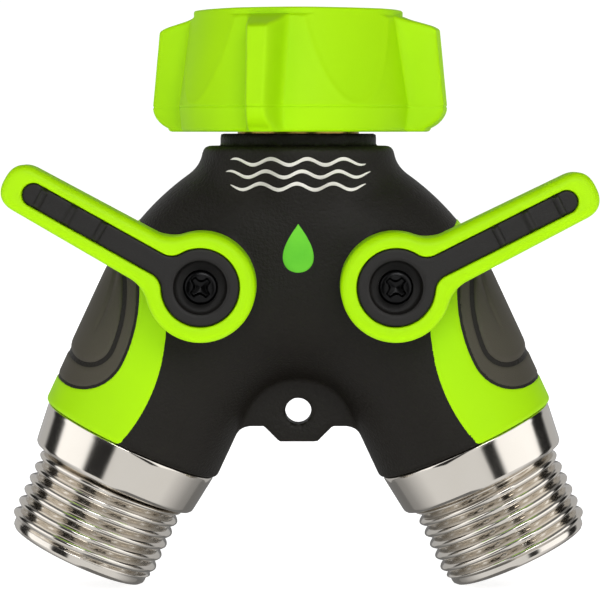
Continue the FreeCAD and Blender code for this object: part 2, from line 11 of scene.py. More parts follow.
import bmesh
import bpy
import numpy as np
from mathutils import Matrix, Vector


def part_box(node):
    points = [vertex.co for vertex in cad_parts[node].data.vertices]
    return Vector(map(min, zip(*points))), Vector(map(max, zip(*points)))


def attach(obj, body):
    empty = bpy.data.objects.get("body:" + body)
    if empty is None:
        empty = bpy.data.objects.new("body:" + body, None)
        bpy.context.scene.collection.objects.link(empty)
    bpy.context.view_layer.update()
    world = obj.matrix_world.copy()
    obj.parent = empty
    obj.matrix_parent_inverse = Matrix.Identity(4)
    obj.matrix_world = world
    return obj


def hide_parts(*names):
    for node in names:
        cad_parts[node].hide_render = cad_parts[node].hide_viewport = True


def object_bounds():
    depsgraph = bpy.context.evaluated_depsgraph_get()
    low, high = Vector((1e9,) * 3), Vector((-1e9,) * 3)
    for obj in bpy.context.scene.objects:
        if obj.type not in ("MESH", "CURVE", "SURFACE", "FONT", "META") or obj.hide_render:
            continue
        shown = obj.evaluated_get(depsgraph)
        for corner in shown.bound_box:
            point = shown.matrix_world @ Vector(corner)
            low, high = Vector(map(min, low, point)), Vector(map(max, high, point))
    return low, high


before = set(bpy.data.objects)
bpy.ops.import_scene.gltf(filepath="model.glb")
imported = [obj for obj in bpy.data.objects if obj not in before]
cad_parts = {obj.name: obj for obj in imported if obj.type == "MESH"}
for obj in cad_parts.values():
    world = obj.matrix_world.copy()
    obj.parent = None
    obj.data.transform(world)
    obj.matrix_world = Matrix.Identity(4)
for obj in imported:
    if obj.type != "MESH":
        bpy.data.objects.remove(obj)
cad_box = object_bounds()
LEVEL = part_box("swivel_nut_grip")[1].z * 1000.0 + 0.6
print("drawing level at z =", round(LEVEL, 2), "mm;", len(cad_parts), "nodes")

# %% [markdown]
# ## From a grid of points to a solid
# Almost every piece here is a surface with two parameters: numpy works out a whole grid of points at
# once, and one helper turns one or more grids into a closed mesh. It welds points that fall together,
# which closes seams and poles, drops the faces that this squashes flat, and turns all faces outwards.
# Working in arrays keeps the formulas short and the mesh dense where the shape needs it.

# %% One helper for every solid
SIDES = {"right": 1.0, "left": -1.0}


def grid_faces(rows, cols, start):
    """Four corners of every cell of a rows x cols grid whose first point has the number start."""
    n = start + np.arange(rows * cols).reshape(rows, cols)
    return np.stack([n[:-1, :-1], n[:-1, 1:], n[1:, 1:], n[1:, :-1]], -1).reshape(-1, 4)


def solid(name, sheets, body, nodes=(), crease=35.0):
    """Closed mesh from grids of points in mm: weld, drop flat cells, point the faces outwards."""
    points = np.concatenate([s.reshape(-1, 3) for s in sheets])
    starts = np.cumsum([0] + [s.shape[0] * s.shape[1] for s in sheets])
    quads = np.concatenate([grid_faces(s.shape[0], s.shape[1], k) for s, k in zip(sheets, starts)])
    key, first, weld = np.unique(np.round(points * 2000).astype(np.int64), axis=0,
                                 return_index=True, return_inverse=True)
    quads = weld.reshape(-1)[quads]
    same = quads == np.roll(quads, -1, axis=1)
    quads = quads[same.sum(1) <= 1]
    same = quads == np.roll(quads, -1, axis=1)
    quads = quads[(quads[:, 0] != quads[:, 2]) & (quads[:, 1] != quads[:, 3])]
    same = quads == np.roll(quads, -1, axis=1)
    corners = quads[~same]
    counts = 4 - same.sum(1)
    mesh = bpy.data.meshes.new(name)
    mesh.vertices.add(len(first))
    lift = points[first] + np.array([0.0, 0.0, LEVEL])
    mesh.vertices.foreach_set("co", (lift * 0.001).ravel())
    mesh.loops.add(len(corners))
    mesh.loops.foreach_set("vertex_index", corners.astype(np.int32))
    mesh.polygons.add(len(counts))
    mesh.polygons.foreach_set("loop_start", (np.cumsum(counts) - counts).astype(np.int32))
    mesh.update(calc_edges=True)
    mesh.validate()
    turn_outwards(mesh)
    return finish_piece(name, mesh, body, nodes, crease)


def turn_outwards(mesh):
    """Give all faces of each closed shell the same turn, with the normals pointing out."""
    bm = bmesh.new()
    bm.from_mesh(mesh)
    bmesh.ops.recalc_face_normals(bm, faces=bm.faces)
    open_edges = sum(1 for e in bm.edges if len(e.link_faces) != 2)
    bm.to_mesh(mesh)
    bm.free()
    print(f"  {len(mesh.polygons)} faces, {open_edges} open edges")


def finish_piece(name, mesh, body, nodes, crease):
    """Object for a finished mesh: smooth with sharp edges kept, riding on its body."""
    mesh.shade_smooth()
    mesh.set_sharp_from_angle(angle=math.radians(crease))
    piece = bpy.data.objects.new(name, mesh)
    bpy.context.scene.collection.objects.link(piece)
    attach(piece, body)
    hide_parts(*nodes)
    print(name, "replaces", ", ".join(nodes) or "nothing")
    return piece

# %% [markdown]
# ## Materials
# Every finish starts from what the real one is made of and how its surface was made. One function turns
# a colour as it is written on a paint chart into linear light, and one function adds a shader node. The
# patterns are all worked out in space, in the object's own coordinates, so they keep their real scale.

# %% Colour and node helpers
def linear(code):
    """Linear RGBA of an sRGB hex colour."""
    parts = np.array([int(code[k:k + 2], 16) for k in (1, 3, 5)]) / 255.0
    low = parts / 12.92
    high = ((parts + 0.055) / 1.055) ** 2.4
    return (*np.where(parts <= 0.04045, low, high), 1.0)


def node(tree, kind, links=(), **settings):
    """Add a node, set its attributes and inputs (in__Name), and link (socket, input name) pairs to it."""
    made = tree.nodes.new(kind)
    for key, value in settings.items():
        if key.startswith("in__"):
            made.inputs[key[4:].replace("_", " ")].default_value = value
        else:
            setattr(made, key, value)
    for source, target in links:
        tree.links.new(source, made.inputs[target])
    return made


def noise(tree, place, scale, detail):
    """Cloudy pattern in space, with about one patch in 1 / scale metres."""
    made = node(tree, "ShaderNodeTexNoise", [(place, "Vector")], in__Scale=scale, in__Detail=detail)
    return made.outputs["Fac"]


def new_material(name):
    """Empty node material: returns the material, its tree, the surface shader and object coordinates."""
    material = bpy.data.materials.new(name)
    material.use_nodes = True
    tree = material.node_tree
    shader = tree.nodes["Principled BSDF"]
    place = node(tree, "ShaderNodeTexCoord").outputs["Object"]
    return material, tree, shader, place


def ramp(tree, source, low, high, dark, light):
    """Map a pattern's values from low..high to the range between two numbers."""
    made = node(tree, "ShaderNodeMapRange", [(source, "Value")], in__From_Min=low, in__From_Max=high,
                in__To_Min=dark, in__To_Max=light)
    return made.outputs["Result"]


def tint(tree, source, low, high):
    """Mix two colours by a pattern's value."""
    made = node(tree, "ShaderNodeMix", [(source, "Factor")], data_type="RGBA")
    made.inputs[6].default_value = linear(low)
    made.inputs[7].default_value = linear(high)
    return made.outputs[2]


def bump(tree, height, depth_mm, shader, strength=1.0):
    """Raise the surface by a pattern's value times a real depth."""
    made = node(tree, "ShaderNodeBump", [(height, "Height")], in__Strength=strength,
                in__Distance=depth_mm * 0.001)
    tree.links.new(made.outputs["Normal"], shader.inputs["Normal"])


# %% [markdown]
# ### Black powder coat on the die-cast body
# The powder melts into a fine leathery grain, with rounded bumps about half a millimetre apart, and it is
# a warm near-black with a soft sheen. Two sizes of noise give the grain and a little unevenness, and the
# roughness wanders slightly as it does on a sprayed and baked surface.

# %% Black powder coat
powder_coat, tree, shader, place = new_material("powder_coat_black")
grain = node(tree, "ShaderNodeTexNoise", [(place, "Vector")], in__Scale=1900.0, in__Detail=2.0,
             in__Roughness=0.55).outputs["Fac"]
cloud = noise(tree, place, 90.0, 3.0)
tree.links.new(tint(tree, cloud, "#120f0b", "#1a1712"), shader.inputs["Base Color"])
tree.links.new(ramp(tree, cloud, 0.3, 0.7, 0.44, 0.54), shader.inputs["Roughness"])
shader.inputs["IOR"].default_value = 1.5
shader.inputs["Specular IOR Level"].default_value = 0.2
bump(tree, grain, 0.16, shader, 1.0)

# %% [markdown]
# ### Lime elastomer and lime plastic
# The nut's grip and the bands are soft overmoulded elastomer, and the levers are a harder moulded
# plastic, both from the same strong yellow-green pigment. The soft one is a little duller. A moulded
# surface is almost even: a very fine spark-eroded texture and a slight change of shade are enough.

# %% Lime elastomer and lime plastic
def lime(name, roughness, texture_mm):
    """Satin lime moulding: faint shade changes and a fine eroded texture."""
    material, tree, shader, place = new_material(name)
    cloud = noise(tree, place, 70.0, 2.0)
    fine = noise(tree, place, 3200.0, 1.0)
    tree.links.new(tint(tree, cloud, "#9bd400", "#a6de00"), shader.inputs["Base Color"])
    tree.links.new(ramp(tree, cloud, 0.3, 0.7, roughness, roughness + 0.05), shader.inputs["Roughness"])
    shader.inputs["IOR"].default_value = 1.5
    shader.inputs["Specular IOR Level"].default_value = 0.08
    bump(tree, fine, texture_mm, shader, 0.5)
    return material


lime_grip = lime("lime_elastomer", 0.48, 0.02)
lime_plastic = lime("lime_plastic", 0.40, 0.01)

# %% [markdown]
# ### Black elastomer
# The pads on the legs are dark, warm grey rubber with a finer grain than the body, and the inlays in the
# levers are a blacker grade of the same stuff.

# %% Black elastomers
def rubber(name, low, high, gloss):
    """Moulded black rubber: a fine eroded grain, slight clouding and a dull sheen."""
    material, tree, shader, place = new_material(name)
    grain = noise(tree, place, 3600.0, 2.0)
    cloud = noise(tree, place, 110.0, 2.0)
    tree.links.new(tint(tree, cloud, low, high), shader.inputs["Base Color"])
    tree.links.new(ramp(tree, cloud, 0.3, 0.7, 0.5, 0.6), shader.inputs["Roughness"])
    shader.inputs["IOR"].default_value = 1.5
    shader.inputs["Specular IOR Level"].default_value = gloss
    bump(tree, grain, 0.05, shader, 0.8)
    return material


black_grip = rubber("black_elastomer", "#3f3b32", "#47433a", 0.2)
black_inlay = rubber("black_inlay_rubber", "#12100e", "#181613", 0.35)

# %% [markdown]
# ### Metals
# The outlets and the nut's ring are brass with a bright nickel plate, which is warmer and a little
# softer than chrome, and the plate shows faint turning marks round the axis and fine specks. The balls
# are polished hard chrome, the tailpiece and the stems are bare machined brass, and the screws are steel
# with a glossy black oxide.

# %% Metals
def metal(name, colours, roughness, mark_scale, mark_mm):
    """Plated or machined metal: colour drift, fine marks in the finish and a metal shader."""
    material, tree, shader, place = new_material(name)
    cloud = noise(tree, place, 140.0, 4.0)
    marks = noise(tree, place, mark_scale, 2.0)
    tree.links.new(tint(tree, cloud, *colours), shader.inputs["Base Color"])
    tree.links.new(ramp(tree, cloud, 0.3, 0.7, *roughness), shader.inputs["Roughness"])
    shader.inputs["Metallic"].default_value = 1.0
    bump(tree, marks, mark_mm, shader, 0.4)
    return material


nickel = metal("nickel_plate", ("#d3cdc4", "#dcd7cf"), (0.1, 0.16), 900.0, 0.0015)
brass = metal("machined_brass", ("#c9a154", "#d8b468"), (0.2, 0.3), 1800.0, 0.01)
chrome = metal("hard_chrome", ("#cdd0d2", "#d8dadb"), (0.05, 0.08), 1200.0, 0.001)
black_screw = metal("black_oxide_steel", ("#1d1d1e", "#262626"), (0.2, 0.28), 2400.0, 0.006)

# %% [markdown]
# ### Seals
# The washer and the O-rings are smooth black nitrile rubber, and the ball seats are white PTFE, which is
# waxy: it lets a little light in and has a soft gloss.

# %% Seals
def seal(name, colours, roughness, inside):
    """Moulded seal: faint mottling, soft gloss and a little light under the surface."""
    material, tree, shader, place = new_material(name)
    cloud = noise(tree, place, 400.0, 3.0)
    tree.links.new(tint(tree, cloud, *colours), shader.inputs["Base Color"])
    tree.links.new(ramp(tree, cloud, 0.3, 0.7, *roughness), shader.inputs["Roughness"])
    shader.inputs["Subsurface Weight"].default_value = inside
    shader.inputs["Subsurface Scale"].default_value = 0.001
    bump(tree, cloud, 0.008, shader, 0.4)
    return material


seal_rubber = seal("nitrile_rubber", ("#181817", "#201f1e"), (0.42, 0.52), 0.0)
ptfe = seal("ptfe_moulded", ("#e4e3de", "#eeede9"), (0.35, 0.45), 0.15)
print(len(bpy.data.materials), "materials")

# %% [markdown]
# ## The swivel nut's grip
# The lime grip is moulded over a metal ring. It is a sleeve that widens downwards, with four ribs for
# the fingers and a hollow for the thumb between each pair. It could be cut together from a cone, blocks
# and cylinders, but a real moulding has soft edges everywhere, and those come free when the radius is
# one function of the angle and the height: the sleeve, the thumb rests and the ribs are joined with a
# smooth minimum and a smooth maximum, which round each edge by a chosen amount.

# %% Smooth minimum, and the nut's dimensions
def smooth_min(a, b, k):
    """The smaller of a and b, with the corner between them rounded over a width k."""
    h = np.maximum(k - np.abs(a - b), 0.0) / k
    return np.minimum(a, b) - h * h * k / 4.0


def smooth_max(a, b, k):
    """The larger of a and b, rounded in the same way."""
    return -smooth_min(-a, -b, k)


RIBS = 4
FIRST_RIB = math.radians(-16.0)
RIM_Z = -0.6
SEAM_Z = -17.3
RING_R = 15.4


def around(radius, angle, height):
    """Points at a radius and an angle from the front (-Y) towards +X, stacked as x, y, z."""
    radius, angle, height = np.broadcast_arrays(radius, angle, height)
    return np.stack([radius * np.sin(angle), -radius * np.cos(angle), height], -1)


# %% Radius of the grip
def sleeve(z):
    """Straight collar at the rim, a small step out, an even flare to the seam and a taper under it."""
    return np.interp(-z, [0.0, 1.7, 2.1, 17.3, 21.6], [18.2, 18.2, 18.6, 20.8, 20.3])


def thumb_rest(off, z):
    """Distance to a drum of radius 30 that leans out downwards: where it is less than the sleeve, it
    leaves a shallow U-shaped hollow. off is the angle from the middle of the hollow."""
    nearest = 17.4 - 0.198 * z
    c = 30.0 - nearest
    return -c * np.cos(off) + np.sqrt(30.0 ** 2 - (c * np.sin(off)) ** 2)


def rib_envelope(z):
    """Outer limit of the ribs: a bevelled top, a slight flare down to the seam and a rounded foot."""
    bevel = 18.2 + (-1.8 - z) * 3.58
    flare = 25.0 + (-3.7 - z) * 0.103
    top = smooth_min(bevel, flare, 2.2)
    below = np.clip(SEAM_Z - z, 0.0, 4.3)
    foot = 19.9 + np.sqrt(np.maximum(6.5 ** 2 - (below * 6.5 / 4.42) ** 2, 0.0))
    return np.where(z < SEAM_Z, foot, top)


def grip_radius(angle, z, step_angle, step_z):
    """Sleeve with thumb rests, a fine lip round each rest, ribs on top and a seam line."""
    pitch = 2 * math.pi / RIBS
    off = np.mod(angle - FIRST_RIB + pitch / 2, pitch) - pitch / 2
    from_rest = np.mod(angle - FIRST_RIB, pitch) - pitch / 2
    base = sleeve(z) + 0.0 * off
    rest = thumb_rest(from_rest, z)
    depth = base - rest
    slope_a = np.gradient(depth, axis=1) / (np.gradient(step_angle, axis=1) * 19.0)
    slope_z = np.gradient(depth, axis=0) / np.gradient(step_z, axis=0)
    edge = depth / np.maximum(np.hypot(slope_a, slope_z), 0.02)
    lip = 0.13 * np.exp(-(edge / 0.38) ** 2) * (z < -2.2) * (z > SEAM_Z + 0.3)
    cup = smooth_min(base, rest, 0.06) + lip
    flank = 6.831 / (np.abs(np.sin(off)) + 0.1909 * np.cos(off))
    rib = smooth_min(rib_envelope(z), flank, 2.4)
    whole = np.where(z > -1.8, cup, smooth_max(cup, rib, 1.8))
    seam = 0.16 * np.exp(-((z - SEAM_Z) / 0.16) ** 2)
    return whole - seam


# %% The grip's grid
def rib_angles():
    """Angles for a whole turn, close together on the steep flanks of the ribs."""
    half = np.concatenate([np.linspace(0.0, 2.5, 4)[:-1], np.linspace(2.5, 14.0, 34)[:-1],
                           np.linspace(14.0, 45.0, 22)])
    one = np.radians(np.concatenate([-half[:0:-1], half]))
    return np.concatenate([one[:-1] + FIRST_RIB + k * 2 * math.pi / RIBS for k in range(RIBS)])


def closed(values):
    """Repeat the first value at the end, a full turn later."""
    return np.append(values, values[0] + 2 * math.pi)


def make_nut_grip():
    """Rows run down the outside, in under the foot, up the bore and back over the rim."""
    z_out = np.concatenate([np.linspace(RIM_Z - 0.4, -1.7, 4), np.linspace(-1.8, -4.9, 34),
                            np.linspace(-5.2, -16.7, 32), np.linspace(-16.9, -17.7, 13),
                            np.linspace(-18.0, -21.0, 12)])
    angle, z = np.meshgrid(closed(rib_angles()), z_out)
    radius = grip_radius(angle, z, angle, z)
    side = around(radius, angle, z)
    a, last, first = angle[0], radius[-1], radius[0]
    foot = [around(last - cut, a, h) for cut, h in ((0.12, -21.3), (0.35, -21.5), (0.8, -21.6))]
    bore = [around(RING_R, a, h) for h in (-21.6, -14.0, -7.0, RIM_Z - 0.3)]
    rim = [around(RING_R + 0.1, a, RIM_Z - 0.08), around(RING_R + 0.35, a, RIM_Z),
           around(first - 0.45, a, RIM_Z), around(first - 0.2, a, RIM_Z - 0.06),
           around(first - 0.06, a, RIM_Z - 0.2), side[0]]
    rows = np.concatenate([side, np.stack(foot + bore + rim)])
    piece = solid("nut_grip", [rows], "swivel_nut", ["swivel_nut_grip"], 50.0)
    piece.data.materials.append(lime_grip)


make_nut_grip()

# %% [markdown]
# ## Garden hose threads
# Both the nut and the outlets carry the standard hose thread, with 11.5 turns to the inch, so a turn
# climbs 2.209 mm. A thread can be made by sweeping a section along a helix, but then it has loose ends.
# It is simpler to make a turned shape whose radius also depends on the phase, height over pitch minus
# angle over a full turn: the crest then climbs round by itself and fades into its neighbours.

# %% The thread wave and the metal ring in the nut
THREAD_PITCH = 25.4 / 11.5


def thread_wave(along, angle, fullness):
    """0 in the valley and 1 on the crest: a sine squared of half the phase, to a power under 1, which
    widens the crest and narrows the valley. A right-handed thread climbs anticlockwise."""
    phase = along / THREAD_PITCH - angle / (2 * math.pi)
    return (0.5 - 0.5 * np.cos(2 * math.pi * phase)) ** fullness


def ease(value, start, end):
    """0 before start, 1 after end, with a soft S between."""
    t = np.clip((value - start) / (end - start), 0.0, 1.0)
    return t * t * (3 - 2 * t)


def make_nut_ring():
    """Female thread with a lead-in, the washer's pocket and the lip that pulls the tailpiece up."""
    z_thread = np.linspace(-1.3, -10.6, 90)
    angle, z = np.meshgrid(np.linspace(0, 2 * math.pi, 181), z_thread)
    fade = ease(-z, 1.3, 2.6) * (1 - ease(-z, 9.9, 10.5))
    thread = around(13.6 - 1.22 * fade * thread_wave(z, angle, 0.45), angle, z)
    a = angle[0]
    top = [around(RING_R, a, -1.2), around(13.9, a, -1.2)]
    profile = ((13.6, -10.8), (13.6, -16.3), (10.9, -16.3), (10.7, -16.5), (10.7, -20.9), (11.0, -21.2),
               (15.2, -21.2), (RING_R, -21.0), (RING_R, -1.2))
    low = [around(r, a, h) for r, h in profile]
    rows = np.concatenate([np.stack(top), thread, np.stack(low)])
    piece = solid("nut_ring", [rows], "swivel_nut", ["swivel_nut_ring"], 40.0)
    piece.data.materials.append(nickel)


make_nut_ring()

# %% [markdown]
# ## The nickel-plated outlets
# Each outlet is turned from brass: a spigot that screws up into the leg, a smooth collar that tapers a
# little, and the male hose thread with a plain chamfered ring at its end. The whole piece is a profile
# turned about the leg's axis, and only the rows on the threaded length depend on the angle. Both outlets
# have right-handed thread, so the left one is worked out on its own axis and not mirrored.

# %% Coordinates along a leg
LEG_LEAN = math.radians(25.0)
LEGS_MEET_Z = -12.6
LEG_R = 16.4
LEG_END = 69.4


def leg_axes(side):
    """Unit vectors of a leg: away from the other leg, round the axis from there, and down the axis."""
    out = np.array([side * math.cos(LEG_LEAN), 0.0, math.sin(LEG_LEAN)])
    down = np.array([side * math.sin(LEG_LEAN), 0.0, -math.cos(LEG_LEAN)])
    return out, np.array([0.0, -side, 0.0]), down


def on_leg(side, radius, angle, station):
    """Points round a leg's axis; the angle starts at the outer side of the leg."""
    out, turn, down = leg_axes(side)
    radius, angle, station = np.broadcast_arrays(radius, angle, station)
    start = np.array([0.0, 0.0, LEGS_MEET_Z])
    return (start + station[..., None] * down + (radius * np.cos(angle))[..., None] * out
            + (radius * np.sin(angle))[..., None] * turn)


# %% One outlet
def make_outlet(name, side):
    """Collar, threaded length, end ring, bore and spigot as one closed turned surface."""
    along = np.linspace(77.0, 90.9, 127)
    angle, station = np.meshgrid(np.linspace(0, 2 * math.pi, 241), along)
    fade = ease(station, 76.9, 77.7) * (1 - ease(station, 89.9, 90.6))
    ring = 12.6 * ease(station, 90.0, 90.6) + 12.1 * (1 - ease(station, 90.0, 90.6))
    crest = 13.495 - ring
    thread = on_leg(side, ring + crest * fade * thread_wave(station, angle, 0.42), angle, station)
    a = angle[0]
    collar = ((15.3, 69.4), (15.68, 69.45), (15.85, 69.7), (15.78, 70.4), (15.1, 76.0), (15.0, 76.4),
              (14.7, 76.75), (14.2, 76.95), (13.2, 77.0))
    end = ((12.6, 91.2), (12.5, 91.55), (12.1, 91.95), (11.9, 92.0), (9.9, 92.0), (9.6, 91.7), (9.6, 80.0),
           (9.6, 72.4), (8.0, 71.0), (8.0, 60.0), (8.0, 49.8), (8.2, 49.6), (10.7, 49.6), (10.85, 49.8),
           (10.85, 60.0), (10.85, 69.4), (15.3, 69.4))
    rows = np.concatenate([np.stack([on_leg(side, r, a, s) for r, s in collar]), thread,
                           np.stack([on_leg(side, r, a, s) for r, s in end])])
    piece = solid(name + "_outlet_threaded", [rows], "body", [name + "_outlet"], 70.0)
    piece.data.materials.append(nickel)


for name, side in SIDES.items():
    make_outlet(name, side)

# %% [markdown]
# ## The levers
# A lever is one lime moulding: a round hub on the valve's stem and a bar for the thumb, with a pocket
# sunk in its face for a black inlay. Extruding an outline would leave every edge sharp. Here the outline
# is drawn once as a function of how far it is inset, so that a ring of points on it can be carried from
# the middle of the back, out to the side, over a rounded edge and down into the pocket.

# %% Coordinates of a lever
PIVOT_STATION = 38.4
BAR_RISE = {1.0: math.radians(26.8), -1.0: math.radians(29.2)}
ARC_STEPS, FILLET_STEPS, BAR_STEPS, TIP_STEPS = 64, 14, 104, 28
BAR_FOOT = 8.18


def on_stem(side, along, across, out):
    """Points of a lever: along its bar, across it (towards the nut) and out from the middle plane."""
    along, across, out = np.broadcast_arrays(along, across, out)
    pivot = on_leg(side, 0.0, 0.0, PIVOT_STATION)
    right = along * math.cos(BAR_RISE[side]) - across * math.sin(BAR_RISE[side])
    up = along * math.sin(BAR_RISE[side]) + across * math.cos(BAR_RISE[side])
    return pivot + np.stack([side * right, -out, up], -1)


def lever_outline(hub, root, half, reach, fillet, squareness=2.0):
    """Half outline of hub and bar, from the back of the hub to the tip, mirrored to the whole: an arc, a
    hollow fillet, a line that narrows a little and a tip whose corners follow a superellipse."""
    fy = root + fillet
    fx = math.sqrt((hub + fillet) ** 2 - fy ** 2)
    meet = math.atan2(fy, fx)
    arc = np.linspace(math.pi, meet, ARC_STEPS)[:-1]
    turn = np.linspace(math.pi + meet, 1.5 * math.pi, FILLET_STEPS)[:-1]
    bar_x = np.linspace(fx, reach - half, BAR_STEPS)[:-1]
    tip = np.linspace(0.5 * math.pi, 0.0, TIP_STEPS)
    power = 2.0 / squareness
    x = np.concatenate([hub * np.cos(arc), fx + fillet * np.cos(turn), bar_x,
                        reach - half + half * np.abs(np.cos(tip)) ** power])
    bar_y = np.linspace(root, half, BAR_STEPS)[:-1]
    y = np.concatenate([hub * np.sin(arc), fy + fillet * np.sin(turn), bar_y,
                        half * np.abs(np.sin(tip)) ** power])
    return np.concatenate([x, x[-2::-1]]), np.concatenate([y, -y[-2::-1]])


def lever_spine(reach, half, hole=0.0):
    """What the outline shrinks onto: the hub's centre, or a round hole there, and the bar's middle. Far out
    its points stand at the outline's own distances, so that no cell leans across a ridge."""
    n = ARC_STEPS - 1 + FILLET_STEPS - 1
    angle = np.linspace(math.pi, 0.0, n + 1)[:-1]
    start = max(hole, 0.001)
    bar = np.linspace(BAR_FOOT, reach - half, BAR_STEPS)[:-1]
    bar = bar - (BAR_FOOT - start) * (1 - ease(bar, BAR_FOOT, 15.0))
    x = np.concatenate([hole * np.cos(angle), bar, np.full(TIP_STEPS, reach - half)])
    y = np.concatenate([hole * np.sin(angle), np.zeros(BAR_STEPS - 1 + TIP_STEPS)])
    return np.concatenate([x, x[-2::-1]]), np.concatenate([y, -y[-2::-1]])


# %% [markdown]
# The hub reaches further back than the bar does, down to the round seat on the leg. The pocket's edge is
# broken by a fine round that catches the light as a thin bright line.

# %% One lever
def make_lever(name, side):
    """Rings from the middle of the back, round the side and its R1.4 edge, to the pocket's floor."""
    def ring(inset, out):
        x, y = lever_outline(9.2 - inset, 4.4 - inset, 4.0 - inset, 37.0 - inset, 6.0 + inset, 2.5)
        return x, y, out

    def pocket(inset, out):
        x, y = lever_outline(6.6 - inset, 2.0 - inset, 2.0 - inset, 33.5 - inset, 3.0 + inset)
        return x, y, out

    def back(x):
        return 17.5 + 2.5 * ease(x, 9.0, 10.6)

    spine_x, spine_y = lever_spine(33.0, 0.0)
    edge_x, edge_y, _ = ring(0.5, 0.0)
    side_x, side_y, _ = ring(0.0, 0.0)
    rings = [(spine_x + (edge_x - spine_x) * t, spine_y + (edge_y - spine_y) * t)
             for t in (0.0, 0.4, 0.8, 1.0)]
    rows = [on_stem(side, x, y, back(x)) for x, y in rings]
    rows.append(on_stem(side, side_x, side_y, back(side_x) + 0.5))
    rows.append(on_stem(side, side_x, side_y, 24.0))
    for turn in np.linspace(0.0, 0.5 * math.pi, 8):
        x, y, out = ring(1.4 - 1.4 * math.cos(turn), 26.6 + 1.4 * math.sin(turn))
        rows.append(on_stem(side, x, y, out))
    for inset, out in ((-0.3, 28.0), (-0.12, 27.94), (0.0, 27.75), (0.0, 26.5)):
        rows.append(on_stem(side, *pocket(inset, out)))
    floor_x, floor_y = lever_spine(33.5, 2.0, 4.8)
    rows.append(on_stem(side, floor_x, floor_y, 24.2 + 2.3 * ease(floor_x, 4.9, 5.2)))
    in_hub = floor_x < 4.7999
    rows.append(on_stem(side, floor_x * ~in_hub, floor_y * ~in_hub, 24.2 + 2.3 * ease(floor_x, 4.9, 5.2)))
    piece = solid(name + "_lever_moulding", [np.stack(rows)], name + "_valve", [name + "_lever"],
                  40.0)
    piece.data.materials.append(lime_plastic)


for name, side in SIDES.items():
    make_lever(name, side)

# %% [markdown]
# ## The inlays
# The black inlay fills the pocket to just under the lime rim, with a hairline gap round it. Three raised
# ridges cross the bar, and the hub has a deep round well for the screw. The plate shrinks onto the rim
# of the well, so that the well's wall and floor can be a surface of their own.

# %% One inlay
INLAY_FACE = 27.7


def inlay_face(x, inset):
    """Height of the inlay's face: flat with three half-round ridges that stop short of the edges."""
    ridges = sum(np.clip(1 - ((x - c) / 0.6) ** 2, 0, 1) ** 0.6 for c in (19.0, 24.6, 30.2))
    return INLAY_FACE + 0.6 * ridges * ease(inset, 0.1, 0.35)


def make_inlay(name, side):
    """Plate with a rounded rim and ridges, and a cup of revolution that lines the screw's well."""
    def ring(inset, out):
        x, y = lever_outline(6.45 - inset, 1.87 - inset, 1.87 - inset, 33.37 - inset, 3.15 + inset)
        return on_stem(side, x, y, inlay_face(x, inset) - out)

    well, wall = 4.5, 0.12
    under_x, under_y = lever_spine(33.37, 1.87, well + wall)
    core_x, core_y = lever_spine(33.37, 1.87, well)
    rim = well + 0.3
    in_hub = np.hypot(core_x, core_y) < well + 0.01
    rim_x = np.where(in_hub, core_x * rim / well, np.maximum(core_x, rim))
    rim_y = core_y * rim / well
    top_x, top_y = np.where(in_hub, core_x, rim_x), core_y
    edge_x, edge_y = lever_outline(6.45 - 0.4, 1.47, 1.47, 32.97, 3.55)
    rows = [on_stem(side, under_x, under_y, 26.55)]
    rows += [ring(inset, out) for inset, out in ((0.0, 1.2), (0.0, 0.3), (0.05, 0.15), (0.16, 0.04))]
    for t in (0.0, 0.25, 0.5, 0.75, 1.0):
        x, y = edge_x + (rim_x - edge_x) * t, edge_y + (rim_y - edge_y) * t
        rows.append(on_stem(side, x, y, inlay_face(x, 0.4 + t)))
    rows.append(on_stem(side, top_x, top_y, inlay_face(top_x, 1.4) - 0.25 * in_hub))
    n = ARC_STEPS - 1 + FILLET_STEPS - 1
    turn = np.concatenate([np.linspace(math.pi, 0.0, n + 1), -np.linspace(0.0, math.pi, n + 1)[1:]])

    def cup(radius, out):
        return on_stem(side, radius * np.cos(turn), radius * np.sin(turn), out)

    lining = np.stack([cup(r, h) for r, h in ((well, INLAY_FACE - 0.25), (well, 25.2), (well - 0.2, 24.8),
                                              (well - 0.6, 24.6), (2.0, 24.6), (0.0, 24.6))])
    back = np.stack([cup(well + wall, 26.55), cup(well + wall, 24.4), cup(0.0, 24.4)])
    piece = solid(name + "_lever_inlay_ridged", [np.stack(rows), lining, back], name + "_valve",
                  [name + "_lever_inlay"], 40.0)
    piece.data.materials.append(black_inlay)


for name, side in SIDES.items():
    make_inlay(name, side)

# %% [markdown]
# ## The lever screws
# A black pan-head screw holds each lever on its stem. Its cross recess is pressed in by a punch, so its
# walls lean and its corners are soft. The head's height is a crown minus a cross-shaped dip, and the dip
# comes from the distance to the nearer arm of the cross.

# %% One screw
def cross_recess(x, y, turn):
    """0 outside and 1 in the recess: two tapered arms at right angles, joined by soft corners."""
    u = x * math.cos(turn) + y * math.sin(turn)
    v = -x * math.sin(turn) + y * math.cos(turn)
    arms = [np.maximum(np.abs(a) - (0.72 - 0.1 * np.abs(b)), np.abs(b) - 1.95) for a, b in ((u, v), (v, u))]
    gap = smooth_min(arms[0], arms[1], 0.9)
    return ease(-gap, -0.06, 0.3)


